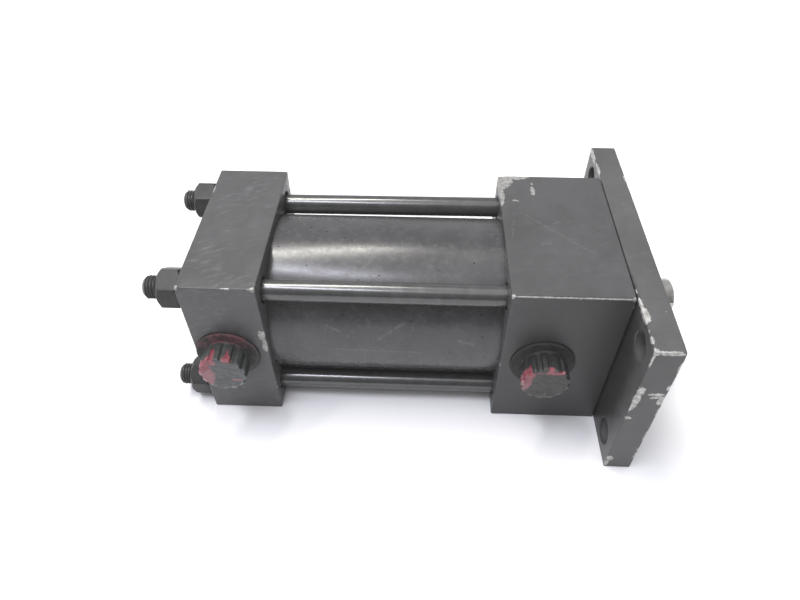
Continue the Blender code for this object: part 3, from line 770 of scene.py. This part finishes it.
def make_head():
    nicks = [(27.3, -31.5, 63.3, 1.6, 0.3), (64.9, -31.4, 63.3, 1.6, 0.3),
             (27.5, 31.0, 63.2, 3.0, 0.25), (28.0, 16.0, 63.4, 4.0, 0.10)]
    head = rough_block("head_block_fine", HEAD_LOW, HEAD_HIGH, nicks)
    gland_floor = GLAND_LOW.x - CLEAR
    rod_passage = 11 * MM
    gland_seat = 17.5 * MM
    bores = [
        (HEAD_LOW.x - PAST, 0),
        (HEAD_LOW.x - PAST, rod_passage),
        (gland_floor, rod_passage),
        (gland_floor, gland_seat),
        (HEAD_HIGH.x + PAST, gland_seat),
        (HEAD_HIGH.x + PAST, 0),
    ]
    cut(head, *tie_cutters(TIE_HOLE_RADIUS, HEAD_LOW.x, HEAD_HIGH.x),
        seat_cutter(HEAD_LOW.x, 1),
        lathe("cut", bores, AXIS, "X", 96),
        port_cutter(HEAD_PORT))
    chips = [
        (28.0, 29.0, 63.4, 4.2, 5.5, 2.0),
        (33.5, 31.0, 63.4, 5.0, 1.6, 2.0),
        (27.4, 20.5, 63.3, 1.3, 7.0, 1.6),
        (39.3, 26.9, 63.5, 0.5, 0.6, 0.5),
        (39.2, 22.6, 63.5, 0.9, 2.6, 0.6),
        (32.8, 16.6, 63.5, 1.2, 0.45, 0.5),
        (27.3, -31.4, 63.2, 1.1, 0.9, 0.9),
        (64.8, -31.3, 63.2, 0.8, 0.8, 0.8),
        (48.0, -31.6, 63.4, 0.5, 0.4, 0.5),
        (27.3, 31.6, 40.0, 0.8, 0.8, 4.5),
        (50.0, 31.6, 0.5, 5.0, 1.0, 0.9),
    ]
    # an oily stain round the port, and painted shade over the whole -Y front face beside the flange
    oil_and_painted_shade = [port_stain(HEAD_PORT, 0.65), (54, -31.75, 26, 60, 1.4, 75, 0.6)]
    material = painted("head_paint", HEAD_LOW, HEAD_HIGH, chips, (0.062, 0.061, 0.063), 0.25,
                       1.0, oil_and_painted_shade, placed(HEAD_SCUFFS, on_head))
    weighted(finish_mesh(head, material, "cylinder", ["head_block"]))


def make_flange():
    nicks = [(65.6, -52.2, 63.2, 2.2, 0.35), (74.5, -52.2, 63.2, 2.0, 0.35),
             (65.4, -38.5, 63.3, 4.0, 0.2), (65.4, -52.2, 43.0, 5.0, 0.2),
             (74.4, -52.2, 41.0, 3.0, 0.25), (65.4, -52.2, 3.0, 4.0, 0.25)]
    flange = rough_block("front_flange_fine", FLANGE_LOW, FLANGE_HIGH, nicks)
    start, end = FLANGE_LOW.x, FLANGE_HIGH.x
    holes = [hole(Vector((0, side * FLANGE_HOLE_HALF, AXIS_Z + lift * TIE_HALF)),
                  FLANGE_HOLE_RADIUS, start, end, 0.35 * MM)
             for side in (-1, 1) for lift in (-1, 1)]
    cut(flange,
        hole(AXIS, PILOT_RADIUS + CLEAR, start, end, 0.4 * MM, turns=128),
        *tie_cutters(TAP_RADIUS, start, end), *holes)
    chips = [
        (65.8, -37.6, 63.4, 1.6, 3.6, 1.2),
        (65.6, -33.0, 63.4, 0.9, 2.2, 0.9),
        (65.6, -47.5, 63.4, 0.8, 1.6, 0.8),
        (70.0, -52.3, 63.3, 6.0, 0.7, 0.8),
        (66.0, -51.9, 63.0, 1.2, 1.2, 1.2),
        (65.6, -52.3, 60.0, 0.5, 0.6, 3.2),
        (66.6, -52.4, 45.0, 1.3, 0.9, 2.2),
        (66.2, -52.4, 40.0, 1.2, 0.9, 4.2),
        (65.5, -52.4, 35.5, 0.6, 0.6, 1.8),
        (66.0, -52.4, 30.8, 1.4, 0.7, 0.8),
        (71.6, -52.4, 43.6, 2.7, 0.9, 0.65),
        (72.4, -52.4, 42.1, 2.3, 0.9, 0.55),
        (73.9, -52.4, 40.2, 1.3, 0.9, 2.0),
        (74.6, -52.3, 56.6, 0.6, 0.5, 3.0),
        (74.5, -52.3, 47.2, 0.9, 0.6, 1.5),
        (74.6, -52.3, 34.6, 0.5, 0.5, 2.6),
        (74.7, -52.3, 30.1, 0.3, 0.4, 0.7),
        (74.6, -52.3, 20.4, 0.4, 0.5, 3.4),
        (74.6, -52.3, 12.2, 0.6, 0.5, 0.8),
        (66.4, -52.4, 5.6, 1.2, 0.7, 1.5),
        (66.0, -52.4, 2.4, 0.9, 0.7, 1.7),
        (65.3, 47.5, 62.8, 0.6, 5.5, 1.8),
        (65.4, 38.0, 63.2, 0.9, 4.0, 0.9),
        (74.5, 30.0, 63.3, 0.5, 5.0, 0.5),
        (74.6, -20.0, 0.4, 0.7, 6.0, 0.7),
        (74.6, 52.2, 30.0, 0.7, 0.7, 6.0),
        (74.6, -52.2, 8.0, 0.7, 0.8, 2.0),
    ]
    # painted shade: the -X face in the corner by the head's front face, and the middle of the -Y
    # end face
    oil_and_painted_shade = [(65.4, -30, 26, 1.6, 23, 60, 0.95), (70.5, -52.4, 30, 14, 1.2, 55, 0.35)]
    material = painted("flange_paint", FLANGE_LOW, FLANGE_HIGH, chips, (0.079, 0.078, 0.079),
                       0.25, 1.0, oil_and_painted_shade, shine=1.35)
    weighted(finish_mesh(flange, material, "cylinder", ["front_flange"]))


# ---------------------------------------------------------------- tube, rod and gland

def make_tube():
    low, high = TUBE_LOW.x, TUBE_HIGH.x
    chamfer = 0.4 * MM
    rows = 24
    outer = [(low + chamfer + (high - low - 2 * chamfer) * i / rows, TUBE_RADIUS)
             for i in range(rows + 1)]
    outline = [(low, BORE_RADIUS), (low, TUBE_RADIUS - chamfer), *outer,
               (high, TUBE_RADIUS - chamfer), (high, BORE_RADIUS)]

    def uneven(along, radius, angle):
        if radius < TUBE_RADIUS:
            return radius, along
        spot = Vector((along * 40, cos(angle) * 1.4, sin(angle) * 1.4))
        return radius - 0.03 * MM * (0.5 + 0.5 * noise.noise(spot)), along

    mesh = lathe("barrel_tube_fine", outline, AXIS, "X", 256, uneven)
    tube = new_object("barrel_tube_fine", mesh)
    finish_mesh(tube, tube_paint(), "cylinder", ["barrel_tube"])


def thread_depth(along, angle, pitch):
    """0 at a thread's crest and 1 at its root, for a 60 degree profile with flats."""
    phase = (along / pitch - angle / (2 * pi)) % 1.0
    slope = abs(phase - 0.5) * 2
    return min(1.0, max(0.0, (slope - 0.12) / 0.72))


def lean(x):
    """How far the far top tie rod sags at x: most at the cap's inner face, none at its
    outer face and in the head."""
    rise = min(1.0, max(0.0, (x - CAP_LOW.x) / (CAP_HIGH.x - CAP_LOW.x)))
    fall = min(1.0, max(0.0, (HEAD_LOW.x - x) / (HEAD_LOW.x - CAP_HIGH.x)))
    return TIE_LEAN * min(rise, fall)


def make_ties():
    material = black_steel("tie_steel", 0.052, 0.16, specular=0.95)
    studs = black_steel("stud_steel", 0.060, 0.30, 0.05)
    for corner in SIDES:
        low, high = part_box("tie_rod_" + corner)
        centre = Vector((0, *TIE_SPOTS[corner].yz))
        start, end = low.x, high.x
        step = TIE_PITCH / 9
        shown = start + TIE_STUD
        outline = [(start, 0), (start, TIE_ROOT_RADIUS - 0.7 * MM)]
        along = start + 0.02 * MM
        while along < shown:
            outline.append((along, TIE_THREAD_RADIUS))
            along += step
        outline += [(shown + 1 * MM, TIE_SHANK_RADIUS)]
        shank_end = end - 16 * MM
        for i in range(1, 13):
            outline.append((shown + (shank_end - shown) * i / 12, TIE_SHANK_RADIUS))
        along = end - TIE_TAIL
        outline.append((along - 0.5 * MM, TIE_THREAD_RADIUS))
        while along < end - 0.02 * MM:
            outline.append((along, TIE_THREAD_RADIUS))
            along += step
        outline += [(end, TIE_ROOT_RADIUS - 0.7 * MM), (end, 0)]

        def threaded(along, radius, angle, start=start, end=end):
            if radius != TIE_THREAD_RADIUS:
                return radius, along
            drop = (TIE_THREAD_RADIUS - TIE_ROOT_RADIUS) * thread_depth(along, angle, TIE_PITCH)
            point = min(along - start, end - along)
            bevel = max(0.0, 1.1 * MM - point) * 0.9
            return min(radius - drop, TIE_THREAD_RADIUS - bevel), along

        mesh = lathe("tie", outline, centre, "X", 56, threaded)
        tie = new_object("tie_rod_" + corner + "_fine", mesh)
        if corner == "top_far":
            for vertex in mesh.vertices:
                vertex.co.z -= lean(vertex.co.x)
        finish_mesh(tie, material, "cylinder", ["tie_rod_" + corner], 40)
        tie.data.materials.append(studs)
        for face in tie.data.polygons:
            if face.center.x < shown + 0.5 * MM:
                face.material_index = 1


def make_nuts():
    """Hexagon nuts, chamfered on both faces, a little proud of the cap's face."""
    material = black_steel("nut_steel", 0.036, 0.38, 0.4, 0.25)
    half_flats = 6.35 * MM
    corner_radius = half_flats / cos(pi / 6) - 0.10 * MM
    face_radius = 5.95 * MM
    thread = 4.05 * MM
    countersink = 4.6 * MM
    for corner in SIDES:
        low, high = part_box("tie_nut_" + corner)
        centre = Vector((0, *TIE_SPOTS[corner].yz))
        turn = radians(NUT_TURNS[corner])
        bottom, top = high.x, low.x
        kinds = [
            ("bore", bottom - 0.6 * MM, thread),
            ("bore", bottom, countersink),
            ("face", bottom, face_radius - 0.15 * MM),
            ("face", bottom - 0.06 * MM, face_radius),
            ("low", bottom, 0),
            ("high", top, 0),
            ("face", top + 0.06 * MM, face_radius),
            ("face", top, face_radius - 0.15 * MM),
            ("bore", top, countersink),
            ("bore", top + 0.6 * MM, thread),
        ]
        rows = []
        for kind, along, radius in kinds:
            row = []
            for i in range(96):
                angle = 2 * pi * i / 96
                wedge = (angle + pi / 6) % (pi / 3) - pi / 6
                hexagon = min(half_flats / cos(wedge), corner_radius)
                r, a = radius, along
                drop = hexagon - face_radius
                if kind == "low":
                    r, a = hexagon, bottom - drop
                elif kind == "high":
                    r, a = hexagon, top + drop
                spin = angle + turn - pi / 6
                row.append(centre + Vector((a, -sin(spin) * r, cos(spin) * r)))
            rows.append(row)
        nut = new_object("tie_nut_" + corner + "_fine", grid_mesh("nut", rows, closed_rows=True))
        finish_mesh(nut, material, "cylinder", ["tie_nut_" + corner], 20)


def make_rod():
    """The rod with its flats, its chamfered end and its tapped hole."""
    material = rod_steel()
    tail, end = ROD_LOW.x, ROD_HIGH.x
    shoulder = PISTON_HIGH.x + CLEAR
    pitch = 1.27 * MM
    tap, root = 4.95 * MM, 5.55 * MM
    tail_radius = 6.35 * MM
    half_across_flats = 6.35 * MM
    floor = end - 19 * MM
    step = pitch / 8
    outline = [
        (tail, 0),
        (tail, 5.75 * MM),
        (tail + 0.6 * MM, tail_radius),
        (shoulder, tail_radius),
        (shoulder, ROD_RADIUS - 0.6 * MM),
        (shoulder + 0.6 * MM, ROD_RADIUS),
        (end - 0.55 * MM, ROD_RADIUS),
        (end - 0.45 * MM, ROD_RADIUS - 0.04 * MM),
        (end, ROD_RADIUS - 0.5 * MM),
        (end, 5.7 * MM),
    ]
    along = end - 0.25 * MM
    while along > floor + 3 * MM:
        outline.append((along, tap))
        along -= step
    outline += [(floor, tap - 0.001 * MM), (floor - 2.5 * MM, 0)]

    def threaded(along, radius, angle):
        if radius != tap:
            return radius, along
        cut_in = (root - tap) * (1 - thread_depth(along, angle, pitch))
        return tap + cut_in, along

    mesh = lathe("piston_rod_fine", outline, AXIS, "X", 96, threaded)
    rod = new_object("piston_rod_fine", mesh)
    for side in (-1, 1):
        shape = bmesh.new()
        flats = 7.94 * MM
        size = Vector((flats + 2 * MM, 4 * MM, 20 * MM))
        spot = Vector((end + 1 * MM - flats / 2, side * (half_across_flats + 2 * MM), AXIS_Z))
        bmesh.ops.create_cube(shape, size=1, matrix=Matrix.Translation(spot)
                              @ Matrix.Diagonal((*size, 1)))
        tool = bpy.data.meshes.new("cut")
        shape.to_mesh(tool)
        shape.free()
        cut(rod, tool)
    finish_mesh(rod, material, "rod", ["piston_rod"], 35)


def make_gland():
    """Gland with its nose out of the flange, and the wiper in it."""
    bronze = turned_metal("gland_bronze", (0.52, 0.34, 0.15), (0.36, 0.22, 0.10), 0.30)
    back, nose = GLAND_LOW.x, GLAND_HIGH.x
    bore = ROD_RADIUS + CLEAR
    face = HEAD_HIGH.x
    chamfer = 0.6 * MM
    ring = back + 5.8 * MM
    seal = back + 3.0 * MM
    wiper = nose - 4.2 * MM
    body = 17.2 * MM
    outline = [
        (back, bore),
        (back, body - chamfer),
        (back + chamfer, body),
        (ring, body),
        (ring, 15 * MM),
        (ring + 3.2 * MM, 15 * MM),
        (ring + 3.2 * MM, body),
        (face, body),
        (face, PILOT_RADIUS),
        (nose - chamfer, PILOT_RADIUS),
        (nose - 0.15 * MM, PILOT_RADIUS - 0.45 * MM),
        (nose, PILOT_RADIUS - 0.7 * MM),
        (nose, 11.9 * MM),
        (nose - 0.3 * MM, 11.6 * MM),
        (wiper, 11.6 * MM),
        (wiper, bore),
        (seal + 5.2 * MM, bore),
        (seal + 5.2 * MM, 12.2 * MM),
        (seal, 12.2 * MM),
        (seal, bore),
    ]
    gland = new_object("rod_gland_fine", lathe("gland", outline, AXIS, "X", 144))
    finish_mesh(gland, bronze, "cylinder", ["rod_gland"])

    low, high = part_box("rod_wiper")
    lip = [
        (low.x, bore + 1.0 * MM),
        (low.x, 11.2 * MM),
        (nose - 0.5 * MM, 11.3 * MM),
        (nose - CLEAR, 11.1 * MM),
        (nose - CLEAR, bore + 1.6 * MM),
        (nose - 0.7 * MM, bore + 1.2 * MM),
        (high.x - 0.15 * MM, bore + 0.22 * MM),
        (high.x, bore + 0.08 * MM),
        (high.x - 0.1 * MM, bore),
        (high.x - 1.2 * MM, bore + 0.02 * MM),
        (low.x + 1.9 * MM, bore),
    ]
    wiper = new_object("rod_wiper_fine", lathe("wiper", lip, AXIS, "X", 144))
    finish_mesh(wiper, rubber("wiper_rubber", 0.03), "cylinder", ["rod_wiper"])


# ---------------------------------------------------------------- port plugs

def make_plug(node, seed, face_tone, side_tone, collar_red, spots):
    """Fluted protective plug with a ragged rim, a thin collar and a hollow shank."""
    low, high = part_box(node)
    centre = Vector(((low.x + high.x) / 2, CAP_LOW.y, AXIS_Z))
    proud = CAP_LOW.y - low.y
    flutes = 13
    turns = flutes * 22
    ridge, valley = 8.15 * MM, 7.35 * MM
    seat = CLEAR - SPOT_DEPTH
    collar = seat + 1.0 * MM
    outline = [
        (-9.0 * MM, 5.2 * MM),
        (-9.0 * MM, 7.0 * MM),
        (seat, 7.5 * MM),
        (seat, 10.7 * MM),
        (seat + 0.2 * MM, 10.9 * MM),
        (collar - 0.3 * MM, 10.9 * MM),
        (collar - 0.05 * MM, 10.55 * MM),
        (collar - 0.15 * MM, 9.6 * MM),
        (collar - 0.2 * MM, 8.6 * MM),
        (collar, 7.6 * MM),
    ]
    side_rows = [1.7, 2.4, 3.6, 5.0, 6.4, 7.6, 8.4, 8.8, 9.05]
    outline += [(h * MM, ridge) for h in side_rows]
    outline += [(proud, 7.3 * MM), (proud - 0.10 * MM, 6.2 * MM), (proud - 0.22 * MM, 4.0 * MM),
                (proud - 0.25 * MM, 2.0 * MM), (proud - 0.25 * MM, 0)]
    outline += [(proud - 2.4 * MM, 0), (proud - 2.4 * MM, 5.2 * MM)]

    def fluted(along, radius, angle):
        if radius >= 8.6 * MM:
            rag = 0.10 * MM * noise.noise(Vector((angle * 6, radius / MM, seed)))
            return radius + min(0.0, rag), along + 0.5 * min(0.0, rag)
        if radius != ridge:
            return radius, along
        phase = (angle * flutes / (2 * pi)) % 1.0
        number = int(angle * flutes / (2 * pi))
        wave = 0.5 - 0.5 * cos(2 * pi * phase)
        crown = min(1.0, max(0.0, (wave - 0.22) / 0.5))
        crown = crown * crown * (3 - 2 * crown)
        rise = along / proud
        flare = 0.35 * MM * noise.noise(Vector((number * 1.7, seed, 0))) * rise ** 4
        rag = 0.20 * MM * noise.noise(Vector((angle * 9, along / MM * 0.7, seed))) * rise ** 3
        taper = -0.15 * MM * (1 - rise)
        ease = min(1.0, (along - 1.3 * MM) / (1.6 * MM))
        r = valley + (ridge - valley) * crown * ease + flare * crown + rag + taper
        if along > 8.6 * MM:
            r -= 0.22 * MM * (along - 8.6 * MM) / (0.45 * MM)
        return r, along

    mesh = lathe(node + "_fine", outline, centre, "-Y", turns, fluted)
    plug = new_object(node + "_fine", mesh)
    material = plug_plastic(node + "_plastic", centre, spots, face_tone, side_tone, collar_red)
    finish_mesh(plug, material, "cylinder", [node], 38)


def make_plugs():
    make_plug("port_plug_cap", 2.0, (0.095, 0.101, 0.104), (0.050, 0.054, 0.050), 0.8, [
        (-7.4, -8.8, -0.5, 4.4, 3.0, 7.5),
        (-3.2, -8.2, 6.0, 2.6, 1.6, 1.5),
        (-3.0, -5.8, 7.0, 0.7, 2.6, 1.6),
        (2.6, -8.2, 7.3, 1.8, 1.6, 1.2),
        (2.2, -6.6, 7.6, 0.6, 2.0, 1.2),
        (4.4, -9.2, -2.8, 2.0, 0.4, 0.6),
        (-7.8, -5.0, -1.5, 0.7, 3.4, 1.6),
    ])
    make_plug("port_plug_head", 9.0, (0.054, 0.051, 0.049), (0.023, 0.024, 0.023), 0.0, [
        (-6.3, -8.0, 0.8, 1.9, 2.4, 4.2),
        (-5.2, -8.0, 4.4, 1.3, 2.6, 1.8),
        (2.4, -8.8, 5.9, 3.6, 0.9, 0.9),
        (1.0, -8.7, 7.0, 1.2, 1.2, 0.8),
        (-2.6, -9.0, 5.6, 1.6, 0.5, 0.35),
        (-7.6, -8.6, -2.6, 0.9, 1.2, 2.0),
    ])


# ---------------------------------------------------------------- pieces inside

def dress_inside():
    """The hidden CAD pieces keep their shapes and get their own finishes."""
    seal = rubber("seal_rubber")
    alloy = turned_metal("piston_alloy", (0.66, 0.67, 0.68), (0.48, 0.49, 0.50), 0.26)
    finishes = {
        "piston": alloy,
        "piston_wear_band": band_plastic(),
        "piston_nut": black_steel("piston_nut_steel", 0.06, 0.28),
    }
    for node in ("tube_seal_cap", "tube_seal_head", "gland_o_ring", "rod_seal",
                 "piston_seal_front", "piston_seal_rear", "piston_o_ring"):
        finishes[node] = seal
    for node, material in finishes.items():
        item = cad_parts[node]
        item.data.materials.clear()
        item.data.materials.append(material)


# ---------------------------------------------------------------- stage

def make_floor():
    mesh = bpy.data.meshes.new("floor")
    shape = bmesh.new()
    bmesh.ops.create_grid(shape, x_segments=1, y_segments=1, size=3)
    shape.to_mesh(mesh)
    shape.free()
    floor = new_object("floor", mesh)
    g = Graph("floor_card")
    tint = g.mix(g.noise(300, 2, 0.5), (0.91, 0.91, 0.925), (0.93, 0.93, 0.94))
    mesh.materials.append(g.finish(tint, 0.7, 0.0, 0.2))


def area_light(name, place, target, size, power, colour):
    light = bpy.data.lights.new(name, "AREA")
    light.shape = "RECTANGLE"
    light.size, light.size_y = size
    light.energy = power
    light.color = colour
    item = new_object(name, light)
    item.location = place
    item.rotation_euler = (Vector(target) - Vector(place)).to_track_quat("-Z", "Y").to_euler()
    item.visible_camera = False


def make_light():
    """Lamps, a graded studio round them, and a pale backdrop that only the camera sees."""
    world = bpy.data.worlds.new("studio")
    bpy.context.scene.world = world
    world.use_nodes = True
    tree = world.node_tree
    background = tree.nodes["Background"]
    background.inputs["Color"].default_value = (0.96, 0.97, 1.0, 1)
    direction = tree.nodes.new("ShaderNodeTexCoord")
    towards = tree.nodes.new("ShaderNodeVectorMath")
    towards.operation = "DOT_PRODUCT"
    towards.inputs[1].default_value = Vector(BRIGHT_SIDE).normalized()
    tree.links.new(direction.outputs["Generated"], towards.inputs[0])
    strength = tree.nodes.new("ShaderNodeMapRange")
    for name, number in (("From Min", -0.5), ("From Max", 0.8), ("To Min", 0.03), ("To Max", 0.70)):
        strength.inputs[name].default_value = number
    tree.links.new(towards.outputs["Value"], strength.inputs["Value"])
    seen = tree.nodes.new("ShaderNodeLightPath")
    backdrop = tree.nodes.new("ShaderNodeMix")
    tree.links.new(seen.outputs["Is Camera Ray"], backdrop.inputs[0])
    tree.links.new(strength.outputs[0], backdrop.inputs[2])
    backdrop.inputs[3].default_value = 0.85
    tree.links.new(backdrop.outputs[0], background.inputs["Strength"])
    area_light("warm_lamp", (-0.24, 0.18, 1.0), AXIS, (0.56, 0.07), 5.9, (1.0, 0.97, 0.90))
    area_light("cool_lamp", (-0.27, -0.24, 1.0), AXIS, (0.50, 0.07), 4.3, (0.87, 0.89, 1.0))
    area_light("top_fill", (0.0, -0.20, 1.6), AXIS, (1.8, 1.8), 9.5, (1.0, 0.99, 1.0))


def make_camera():
    data = bpy.data.cameras.new("camera")
    data.sensor_width = 36
    data.lens = CAMERA_LENS
    data.clip_start = 0.01
    camera = new_object("camera", data)
    camera.location = CAMERA_PLACE
    camera.rotation_euler = [radians(a) for a in CAMERA_TURN]
    bpy.context.scene.camera = camera


def set_view():
    """Plain colours, with the faint veil that stray light lays over the darks."""
    settings = bpy.context.scene.view_settings
    settings.view_transform = "Standard"
    settings.use_curve_mapping = True
    settings.curve_mapping.black_level = (-VEIL,) * 3
    settings.curve_mapping.update()


make_camera()
make_light()
make_floor()
make_cap()
make_head()
make_flange()
make_tube()
make_ties()
make_nuts()
make_rod()
make_gland()
make_plugs()
dress_inside()
set_view()
